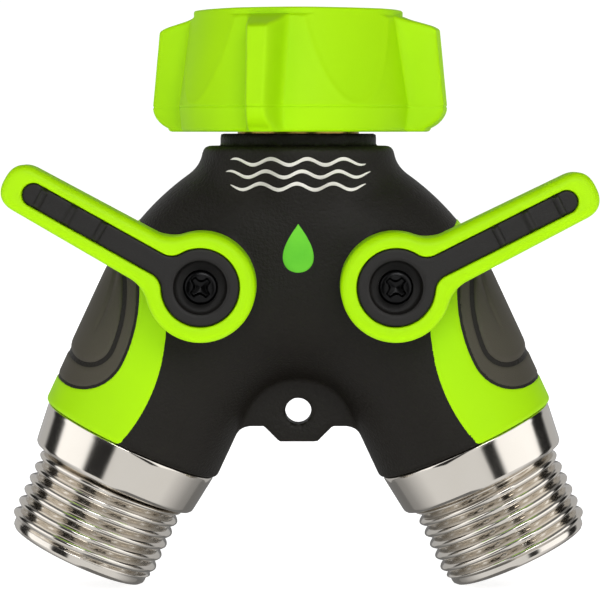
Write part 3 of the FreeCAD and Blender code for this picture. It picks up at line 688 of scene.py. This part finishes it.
def make_screw(name, side):
    """Polar grid over the crowned head and its recess, then the rim, the underside and the shank."""
    radius = np.concatenate([np.linspace(0.0, 2.0, 40), np.linspace(2.1, 2.9, 14)])
    angle, r = np.meshgrid(np.linspace(0, 2 * math.pi, 145), radius)
    x, y = r * np.cos(angle), r * np.sin(angle)
    crown = 26.7 - 0.9 + 0.9 * np.sqrt(np.clip(1 - (r / 2.95) ** 4, 0.0, 1.0))
    depth = 1.25 * cross_recess(x, y, math.radians(20.0)) * (1 - 0.25 * r)
    head = on_stem(side, x, y, crown - depth)
    a = angle[0]
    rest = [on_stem(side, rr * np.cos(a), rr * np.sin(a), h) for rr, h in
            ((2.9, 25.2), (2.85, 24.7), (2.7, 24.62), (1.95, 24.62), (1.95, 19.4), (1.6, 19.0), (0.0, 19.0))]
    piece = solid(name + "_screw", [np.concatenate([head, np.stack(rest)])], name + "_valve",
                  [name + "_lever_screw"], 50.0)
    piece.data.materials.append(black_screw)


for name, side in SIDES.items():
    make_screw(name, side)

# %% [markdown]
# ## The valve body
# The body is a die-cast Y. Its front outline is rolled round to the back with a full radius, so each leg
# is a round bar and the middle is a thick cushion. Necks, shoulders, legs, a hanging lug and two round
# seats all melt into each other, and a grid with two parameters can't follow so many branches. So this
# piece is made another way: a distance field, a function of x, y and z that is zero on the surface. The
# parts of the field are joined with the smooth minimum from above, which gives every joint its casting
# fillet, and numpy finds the surface in a block of sample points.

# %% Distances in the front drawing
LEAN_SIN, LEAN_COS = math.sin(LEG_LEAN), math.cos(LEG_LEAN)
SHOULDER_R, SHOULDER_STATION = 46.0, 45.6
ARCH_Z, ARCH_R = -74.5, 9.76
BLOCK_HALF, BODY_TOP_Z = 16.7, -24.0
NECK_R, NECK_TOP_Z = 13.6, -21.9
LUG_HOLE_R, LUG_HOLE_Z, LUG_HALF_THICK = 2.3, -70.4, 2.5
TONGUE_LOW_Z, TONGUE_HALF, LUG_LOW_Z = -75.8, 3.3, -73.1
SEAT_R, SEAT_FACE_Y = 8.6, -17.2
PIVOT_X = PIVOT_STATION * LEAN_SIN
PIVOT_Z = LEGS_MEET_Z - PIVOT_STATION * LEAN_COS


def leg_station(x, z):
    """Distance down the nearer leg's axis, and out from it, of points of the front drawing."""
    x = np.abs(x)
    return (x * LEAN_SIN - (z - LEGS_MEET_Z) * LEAN_COS), (x * LEAN_COS + (z - LEGS_MEET_Z) * LEAN_SIN)


def leg_mark(station, out):
    """Point of the front drawing at a station along the right leg and a distance out from its axis."""
    return (station * LEAN_SIN + out * LEAN_COS, LEGS_MEET_Z - station * LEAN_COS + out * LEAN_SIN)


def depth_from_side(x, z):
    """How far a point lies inside the outer line: a straight leg below a big shoulder arc."""
    station, out = leg_station(x, z)
    cx, cz = leg_mark(SHOULDER_STATION, LEG_R - SHOULDER_R)
    arc = SHOULDER_R - np.hypot(np.abs(x) - cx, z - cz)
    return np.where(station > SHOULDER_STATION, LEG_R - out, arc)


def depth_from_crotch(x, z):
    """How far a point lies from the crotch: a small arch between the straight inner lines."""
    out = leg_station(x, z)[1]
    above = (z - ARCH_Z) * LEAN_COS - np.abs(x) * LEAN_SIN > 0
    return np.where(above, np.hypot(x, z - ARCH_Z) - ARCH_R, LEG_R + out)


def cushion(depth, y):
    """Solid rolled round an outline: a half circle where the outline is near, flat further in."""
    return np.hypot(np.maximum(LEG_R - depth, 0.0), y) - LEG_R


# %% The field of the body
def blank_field(x, y, z):
    """The plain Y: two rolled legs and shoulders, joined to the block under the nut."""
    depth = smooth_max(depth_from_side(x, z), BLOCK_HALF - np.abs(x), 2.6)
    return cushion(np.minimum(depth, depth_from_crotch(x, z)), y)


def outer_field(x, y, z):
    """Outside of the casting: the plain Y, neck, lug and lever seats, each joined with its fillet."""
    shape = smooth_max(blank_field(x, y, z), z - BODY_TOP_Z, 1.6)
    shape = smooth_max(shape, leg_station(x, z)[0] - LEG_END, 1.2)
    neck = smooth_max(np.hypot(x, y) - NECK_R, z - NECK_TOP_Z, 0.5)
    shape = np.minimum(shape, np.maximum(neck, -30.0 - z))
    side = np.abs(x)
    tongue = np.maximum(TONGUE_LOW_Z - z, (side - TONGUE_HALF - (z - TONGUE_LOW_Z)) * math.sqrt(0.5))
    plate = np.minimum(tongue, np.maximum(LUG_LOW_Z - z, side - 10.0))
    lug = smooth_max(np.maximum(plate, z + 60.0), np.abs(y) - LUG_HALF_THICK, 0.5)
    shape = smooth_min(shape, lug, 1.8)
    hole_r = LUG_HOLE_R + 0.25 * np.clip(np.abs(y) - 2.2, 0, 0.4)
    shape = np.maximum(shape, hole_r - np.hypot(x, z - LUG_HOLE_Z))
    seat = np.hypot(side - PIVOT_X, z - PIVOT_Z) - SEAT_R
    seat = smooth_max(np.maximum(seat, y + 6.0), SEAT_FACE_Y - y, 0.5)
    return smooth_min(shape, seat, 1.2)


def hollow_field(x, y, z):
    """Inside of the casting: socket for the tailpiece, ports, ball chambers and stem bores."""
    station, out = leg_station(x, z)
    around_axis = np.hypot(x, y)
    around_leg = np.hypot(out, y)
    around_stem = np.hypot(np.abs(x) - PIVOT_X, z - PIVOT_Z)
    socket = np.minimum(np.maximum(around_axis - 10.7, -24.9 - z), np.maximum(around_axis - 9.7, -32.0 - z))
    socket = np.minimum(socket, np.maximum(around_axis - 7.0, -36.0 - z))
    port = np.maximum(around_leg - 5.0, 16.0 - station)
    chamber = np.maximum(around_leg - 10.95, 28.0 - station)
    bore = np.maximum(around_stem - 4.3, y + 5.0)
    pocket = np.maximum(np.maximum(around_stem - 6.3, y + 5.0), -13.2 - y)
    return np.minimum(np.minimum(np.minimum(socket, port), np.minimum(chamber, bore)), pocket)


def body_field(x, y, z):
    """Zero on the casting's surface, negative in the metal."""
    return np.maximum(outer_field(x, y, z), -hollow_field(x, y, z))


# %% [markdown]
# A block of cubes is laid over the field. Every cube that the surface passes through gets one point, at
# the mean of the places where the surface crosses its edges, and every crossed edge gets a face between
# its four cubes. Last, each point slides along the field's slope onto the surface itself.

# %% From the field to a mesh
def net_points(block, lows, step):
    """One point for each cube with both signs at its corners, and a number for each such cube."""
    inside = block < 0
    n = np.array(block.shape) - 1
    total = np.zeros((*n, 3))
    count = np.zeros(n)
    shifts = [(a, b) for a in (0, 1) for b in (0, 1)]
    for axis in range(3):
        first = np.moveaxis(block, axis, 0)
        cross = (first[:-1] < 0) != (first[1:] < 0)
        t = np.where(cross, first[:-1] / np.where(cross, first[:-1] - first[1:], 1.0), 0.0)
        cross, t = np.moveaxis(cross, 0, axis), np.moveaxis(t, 0, axis)
        others = [k for k in range(3) if k != axis]
        for a, b in shifts:
            pick = [slice(None)] * 3
            pick[others[0]] = slice(a, a + n[others[0]])
            pick[others[1]] = slice(b, b + n[others[1]])
            c, s = cross[tuple(pick)], t[tuple(pick)]
            total[..., axis] += s
            total[..., others[0]] += a * c
            total[..., others[1]] += b * c
            count += c
    used = count > 0
    number = np.full(tuple(n), -1)
    number[used] = np.arange(used.sum())
    base = np.argwhere(used)
    points = lows + step * (base + total[used] / count[used][:, None])
    return points, number, inside


def net_faces(number, inside):
    """One face for each grid edge with a change of sign: the four cubes round that edge."""
    faces = []
    for axis in range(3):
        b, c = [k for k in range(3) if k != axis]
        ins = np.moveaxis(inside, (axis, b, c), (0, 1, 2))
        num = np.moveaxis(number, (axis, b, c), (0, 1, 2))
        change = ins[:-1, 1:-1, 1:-1] != ins[1:, 1:-1, 1:-1]
        i, j, k = np.nonzero(change)
        faces.append(np.stack([num[i, j, k], num[i, j + 1, k], num[i, j + 1, k + 1], num[i, j, k + 1]], -1))
    return np.concatenate(faces)


def fill_diagonals(block):
    """Sink samples so that no square of the grid has two corners inside and two outside crosswise."""
    for a, b in ((0, 1), (0, 2), (1, 2)) * 3:
        view = np.moveaxis(block, (a, b), (0, 1))
        p, q, r, s = view[:-1, :-1], view[1:, :-1], view[:-1, 1:], view[1:, 1:]
        q[(p < 0) & (s < 0) & (q >= 0) & (r >= 0)] = -0.001
        p[(q < 0) & (r < 0) & (p >= 0) & (s >= 0)] = -0.001
    return block


def settle(points, field, rounds=4):
    """Slide points along the field's slope until the field is zero."""
    for _ in range(rounds):
        value = field(*points.T)
        e = 0.02
        rises = [field(*(points + d).T) - field(*(points - d).T) for d in np.eye(3) * e]
        slope = np.stack(rises, -1) / (2 * e)
        size = np.maximum((slope ** 2).sum(1), 0.2)
        points = points - np.clip(value / size, -0.4, 0.4)[:, None] * slope
    return points


def field_piece(name, field, lows, highs, step, body, nodes, material):
    """Sample a field in a block, mesh its zero surface and finish it as a piece."""
    lows = np.array(lows) + 0.0137
    axes = [np.arange(low, high, step) for low, high in zip(lows, highs)]
    block = fill_diagonals(field(*np.meshgrid(*axes, indexing="ij")))
    points, number, inside = net_points(block, lows, step)
    points = settle(points, field)
    mesh = bpy.data.meshes.new(name)
    lifted = (points + np.array([0, 0, LEVEL])) * 0.001
    mesh.from_pydata(lifted.tolist(), [], net_faces(number, inside).tolist())
    mesh.validate()
    turn_outwards(mesh)
    piece = finish_piece(name, mesh, body, nodes, 50.0)
    piece.data.materials.append(material)


field_piece("valve_body_casting", body_field, (-46.1, -18.2, -83.4), (46.3, 17.6, -20.8), 0.54, "body",
            ["valve_body"], powder_coat)

# %% [markdown]
# ## Grip bands and pads
# Each leg has a soft lime band let into its outer side, with a leaf-shaped black pad in it. Both follow
# the rolled body exactly, so they come from the same field: a band is the layer between two levels of
# the plain Y, inside a large circle of the front drawing. The pad's outline is a long arc with a smaller
# toe arc that touches it. A groove runs inside the outline at an even distance, and the cushion within
# the groove is a little higher, with one soft crease at its head.

# %% Outlines in the front drawing
BAND_X, BAND_Z, BAND_R = 53.0, -54.0, 30.7
PAD_X, PAD_Z, PAD_R = 54.0, -49.0, 26.7
PAD_TOE_R, PAD_TOE_LOW = 8.0, -65.45
GROOVE_IN, GROOVE_TOE_R, GROOVE_TOE_LOW = 2.4, 4.8, -61.5
CREASE_X, CREASE_Z, CREASE_R = 66.0, -39.2, 35.2


def leaf_distance(x, z, inset, toe_r, low):
    """Signed distance from the leaf: the long arc above the line of centres, the toe arc below it."""
    toe_z = low + toe_r
    toe_x = PAD_X - math.sqrt((PAD_R - inset - toe_r) ** 2 - (toe_z - PAD_Z) ** 2)
    x = np.abs(x)
    below = (toe_x - PAD_X) * (z - PAD_Z) - (toe_z - PAD_Z) * (x - PAD_X) > 0
    toe_arc = np.hypot(x - toe_x, z - toe_z) - toe_r
    long_arc = np.hypot(x - PAD_X, z - PAD_Z) - PAD_R + inset
    return np.where(below, toe_arc, long_arc)


def pad_rise(x, z):
    """Height of the pad over the body: margin, groove, raised cushion and crease."""
    groove = leaf_distance(x, z, GROOVE_IN, GROOVE_TOE_R, GROOVE_TOE_LOW)
    crease = np.hypot(np.abs(x) - CREASE_X, z - CREASE_Z) - CREASE_R
    fade = ease(z, -57.5, -53.0)
    return (0.14 - 0.5 * np.exp(-(groove / 0.36) ** 2) + 0.22 * ease(-groove, 0.2, 1.3)
            - 0.34 * np.exp(-(crease / 0.4) ** 2) * fade)


# %% Bands and pads
def band_field(x, y, z):
    """Layer of the plain Y inside the band circle, outside the pad and clear of the lever seat."""
    blank = blank_field(x, y, z)
    shape = smooth_max(blank - 0.12, np.hypot(np.abs(x) - BAND_X, z - BAND_Z) - BAND_R, 0.45)
    shape = smooth_max(shape, 0.1 - leaf_distance(x, z, 0.0, PAD_TOE_R, PAD_TOE_LOW), 0.45)
    shape = smooth_max(shape, leg_station(x, z)[0] - LEG_END + 0.05, 0.9)
    seat = SEAT_R + 0.2 - np.hypot(np.abs(x) - PIVOT_X, z - PIVOT_Z)
    return np.maximum(np.maximum(shape, np.where(y < 0, seat, -1.0)), -1.0 - blank)


def pad_field(x, y, z):
    """Layer of the plain Y inside the leaf, with its groove and cushion."""
    blank = blank_field(x, y, z)
    shape = smooth_max(blank - pad_rise(x, z), leaf_distance(x, z, 0.0, PAD_TOE_R, PAD_TOE_LOW) + 0.08, 0.6)
    shape = smooth_max(shape, np.hypot(np.abs(x) - BAND_X, z - BAND_Z) - BAND_R, 0.45)
    return np.maximum(shape, -1.3 - blank)


for side, sign in SIDES.items():
    ends = sorted((sign * 16.0, sign * 47.5))
    lows, highs = (ends[0], -17.6, -78.0), (ends[1], 17.6, -27.0)
    field_piece(f"{side}_lime_band", band_field, lows, highs, 0.37, "body", [f"{side}_grip_band"],
                lime_grip)
    field_piece(f"{side}_leaf_pad", pad_field, lows, highs, 0.37, "body", [f"{side}_grip_pad"],
                black_grip)

# %% [markdown]
# ## Marks on the front
# The real body carries printed marks. Here they are plain decoration instead: three silver wave lines
# under the nut and a green metallic drop of water between the levers. Both are thin hot-stamped foil, so
# each one is a flat shape laid on the body: every point of it slides back along Y until it meets the
# field of the body.

# %% Laying a flat shape on the body
def front_y(x, z):
    """Y of the body's front at points of the front drawing, found by stepping along the field."""
    y = np.full(np.broadcast(x, z).shape, -18.0)
    for _ in range(60):
        y = y + 0.8 * np.maximum(outer_field(x, y, z), 0.0)
    return y


def laid(x, z, rise):
    """Points of the front drawing, set a rise (mm) above the body's front."""
    return np.stack([x, front_y(x, z) - rise, z], -1)


def make_waves():
    """Three wavy strokes that taper to points at both ends."""
    sheets = []
    t = np.linspace(-1.0, 1.0, 161)
    for level, reach, phase in ((-26.7, 11.6, 0.0), (-28.8, 12.4, 0.9), (-30.9, 11.6, 1.8)):
        x = t * reach
        z = level + 0.52 * np.sin(x * 1.02 + phase)
        half = 0.32 * np.sqrt(np.maximum(1.0 - np.abs(t) ** 6, 0.0))
        rows = [laid(x, z + half * k, rise) for k, rise in
                ((0, 0.06), (0.6, 0.06), (0.9, 0.045), (1, 0.0), (1, -0.2), (0, -0.2), (-1, -0.2), (-1, 0.0),
                 (-0.9, 0.045), (-0.6, 0.06), (0, 0.06))]
        sheets.append(np.stack(rows))
    piece = solid("wave_marks", sheets, "body")
    piece.data.materials.append(silver_foil)


def make_drop():
    """A water drop: width is a sine times a power of the half-angle's sine, height is a cosine."""
    a = np.linspace(0, 2 * np.pi, 121)
    wide = 3.15 * np.sin(a) * np.sin(a / 2) ** 1.15 * 1.12
    tall = 4.15 * np.cos(a)

    def ring(scale, rise):
        return laid(wide * scale, -41.3 + tall * scale, rise)
    rows = [ring(0.0, 0.06)] + [ring(s, 0.06) for s in (0.25, 0.5, 0.75, 0.94)]
    rows += [ring(0.985, 0.045), ring(1.0, 0.0), ring(1.0, -0.2), ring(0.0, -0.2)]
    piece = solid("drop_mark", [np.stack(rows)], "body")
    piece.data.materials.append(green_foil)


# %% [markdown]
# ### Hot-stamped foil
# The foil is vacuum-metallised film pressed on to the powder coat, so it is a rough metal that takes a
# little of the coat's grain and breaks up in fine specks where the coat stands proud.

# %% Foils
silver_foil = metal("silver_foil", ("#c9c5bc", "#efece6"), (0.35, 0.45), 2600.0, 0.03)
green_foil = metal("green_foil", ("#3fae1c", "#7fe03a"), (0.3, 0.42), 2600.0, 0.03)
for foil in (silver_foil, green_foil):
    foil.node_tree.nodes["Principled BSDF"].inputs["Metallic"].default_value = 0.6
make_waves()
make_drop()

# %% [markdown]
# ## Pieces kept from the engineering model
# The tailpiece, the washer, the O-rings, the balls, the seats, the stems and their thrust washers are
# simple turned pieces that mostly sit inside. Their engineering meshes already have the right shape, so
# they only get their finish.

# %% Finishes for the kept pieces
KEPT = {
    "inlet_tailpiece": brass, "tailpiece_oring": seal_rubber, "inlet_washer": seal_rubber,
    "outlet_oring": seal_rubber, "upper_seat": ptfe, "lower_seat": ptfe, "stem_thrust_washer": ptfe,
    "stem": brass, "stem_orings": seal_rubber, "ball": chrome,
}
for name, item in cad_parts.items():
    if item.hide_render:
        continue
    kind = name.split("_", 1)[1] if name.split("_", 1)[0] in SIDES else name
    item.data.materials.clear()
    item.data.materials.append(KEPT[kind])
    print(name, "->", item.data.materials[0].name)

# %% [markdown]
# ## Floor, light and camera
# The splitter stands on its two outlets on a plain pale floor, in soft studio light. A pale world fills
# in from all round, a large softbox on the right is the key, and a weaker one on the left keeps the
# shadows open. Bright metal takes its look from what it reflects, so a strip of card is bent round each
# outlet: grey towards the middle, and dark, white and dark again on the outer side.

# %% Floor and world
def flat_sheet(name, centre, across, up, material):
    """Flat four-cornered card, in metres, from its centre and two half-edge vectors."""
    c, a, u = (np.array(v, float) for v in (centre, across, up))
    mesh = bpy.data.meshes.new(name)
    corners = [tuple(c - a - u), tuple(c + a - u), tuple(c + a + u), tuple(c - a + u)]
    mesh.from_pydata(corners, [], [(0, 1, 2, 3)])
    mesh.materials.append(material)
    card = bpy.data.objects.new(name, mesh)
    bpy.context.scene.collection.objects.link(card)
    return card


floor_z = cad_box[0].z
paper, tree, shader, place = new_material("studio_paper")
shader.inputs["Base Color"].default_value = linear("#f4f4f4")
shader.inputs["Roughness"].default_value = 0.9
shader.inputs["Emission Color"].default_value = (1.0, 1.0, 1.0, 1.0)
shader.inputs["Emission Strength"].default_value = 0.8
floor = flat_sheet("floor", (0, 0, floor_z - 0.0002), (3, 0, 0), (0, 3, 0), paper)
floor.visible_glossy = False

world = bpy.data.worlds.new("studio")
world.use_nodes = True
world.node_tree.nodes["Background"].inputs["Color"].default_value = (1.0, 1.0, 1.0, 1.0)
world.node_tree.nodes["Background"].inputs["Strength"].default_value = 0.2
glow = bpy.data.materials.new("white_backdrop")
glow.use_nodes = True
glow.node_tree.nodes.clear()
lit = node(glow.node_tree, "ShaderNodeEmission", in__Strength=1.05)
node(glow.node_tree, "ShaderNodeOutputMaterial", [(lit.outputs[0], "Surface")])
flat_sheet("backdrop", (0, 1.2, 0.3), (2.5, 0, 0), (0, 0, 1.2), glow).visible_glossy = False
bpy.context.scene.world = world
bpy.context.scene.view_settings.view_transform = "Standard"

# %% Curved cards round each outlet
def curved_card(name, side, angles, glows, radius, half_long):
    """Strip bent round an outlet's axis, which glows by angle and shows in reflections only."""
    theta = np.radians(np.linspace(angles[0], angles[-1], 90))
    out_x, out_z = side * math.cos(LEG_LEAN), math.sin(LEG_LEAN)
    foot = np.array([side * 0.031, -0.015, (LEVEL - 78.8) * 0.001])
    way = np.stack([np.sin(theta) * out_x, -np.cos(theta), np.sin(theta) * out_z - 0.115], -1)
    along = np.array([side * math.sin(LEG_LEAN), 0.0, -math.cos(LEG_LEAN)]) * half_long
    points = np.stack([foot + way * radius - along, foot + way * radius + along])
    mesh = bpy.data.meshes.new(name)
    mesh.from_pydata(points.reshape(-1, 3).tolist(), [], grid_faces(2, 90, 0).tolist())
    glow = mesh.attributes.new("glow", "FLOAT", "POINT")
    glow.data.foreach_set("value", np.tile(np.interp(np.degrees(theta), angles, glows), 2).astype(np.float32))
    mesh.materials.append(card_light)
    card = bpy.data.objects.new(name, mesh)
    card.visible_camera = card.visible_diffuse = card.visible_shadow = card.visible_transmission = False
    bpy.context.scene.collection.objects.link(card)


card_light = bpy.data.materials.new("card_light")
card_light.use_nodes = True
card_light.node_tree.nodes.clear()
level = node(card_light.node_tree, "ShaderNodeAttribute", attribute_name="glow").outputs["Fac"]
lit = node(card_light.node_tree, "ShaderNodeEmission", [(level, "Strength")])
node(card_light.node_tree, "ShaderNodeOutputMaterial", [(lit.outputs[0], "Surface")])
for name, side in SIDES.items():
    curved_card(name + "_inner_card", side, (-130, -114, -74, 17), (0.3, 0.37, 0.9, 0.9), 0.7, 0.55)
    dark_end = 32 if side > 0 else 44
    curved_card(name + "_outer_card", side, (15, 18, dark_end, dark_end + 6, 94, 98, 120, 126, 165),
                (0.5, 0.02, 0.02, 1.4, 1.5, 0.02, 0.02, 0.6, 0.5), 0.55, 0.3)

# %% Softboxes
def softbox(name, place, target, size, power):
    """Rectangular area lamp at a place, facing a target, all in metres."""
    lamp = bpy.data.lights.new(name, "AREA")
    lamp.shape = "RECTANGLE"
    lamp.size, lamp.size_y = size
    lamp.energy = power
    item = bpy.data.objects.new(name, lamp)
    item.location = place
    item.rotation_euler = (Vector(target) - Vector(place)).to_track_quat("-Z", "Y").to_euler()
    bpy.context.scene.collection.objects.link(item)


middle = (0.0, 0.0, (cad_box[0].z + cad_box[1].z) / 2)
softbox("key", (0.12, -0.8, 0.38), middle, (0.45, 0.45), 4.0)
softbox("fill", (-0.45, -0.6, 0.15), middle, (0.4, 0.6), 0.8)

# %% Camera
DISTANCE = 0.490
PITCH = math.radians(3.4)
aim = Vector((0.0003, 0.0, (LEVEL - 51.05) * 0.001))
lens = bpy.data.cameras.new("camera")
lens.sensor_width = 36.0
lens.lens = 167.6
camera = bpy.data.objects.new("camera", lens)
camera.location = aim + Vector((0.0, -math.cos(PITCH), math.sin(PITCH))) * DISTANCE
camera.rotation_euler = (aim - camera.location).to_track_quat("-Z", "Y").to_euler()
bpy.context.scene.collection.objects.link(camera)
bpy.context.scene.camera = camera

# %% [markdown]
# ## End of the scene
# The visual model has to stay in the engineering model's box.

# %% Done
print("scene built")
